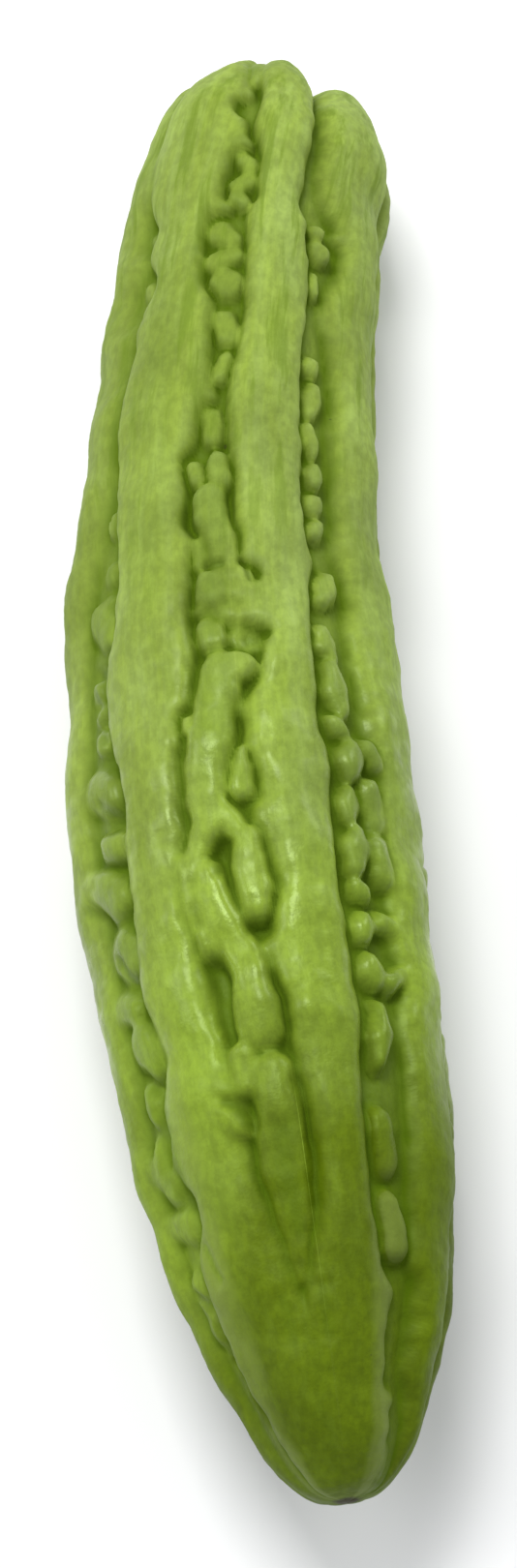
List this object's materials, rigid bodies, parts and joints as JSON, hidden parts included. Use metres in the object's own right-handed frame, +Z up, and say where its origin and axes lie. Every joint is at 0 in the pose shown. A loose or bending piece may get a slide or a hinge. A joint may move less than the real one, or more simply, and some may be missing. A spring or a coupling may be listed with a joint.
{
  "type": "bitter gourd",
  "caption": "Whole bitter gourd lying on its side: a long bowed green fruit with smooth crests, grooves packed with warts, a sunken stem end and a tapered blossom end.",
  "frame": {"origin": "under the middle of the gourd, on the surface that it lies on", "axes": "+Y towards the stem end, -Y towards the blossom end, +Z up, +X to the side that the body bows away from at its ends"},
  "size_m": [0.0668, 0.2819, 0.0637],
  "materials": {
    "gourd_skin": "waxy green plant skin with a soft shine, paler on the crests and deeper green in the creases"
  },
  "bodies": {
    "root": {"bitter_gourd": "gourd_skin"}
  },
  "joints": []
}
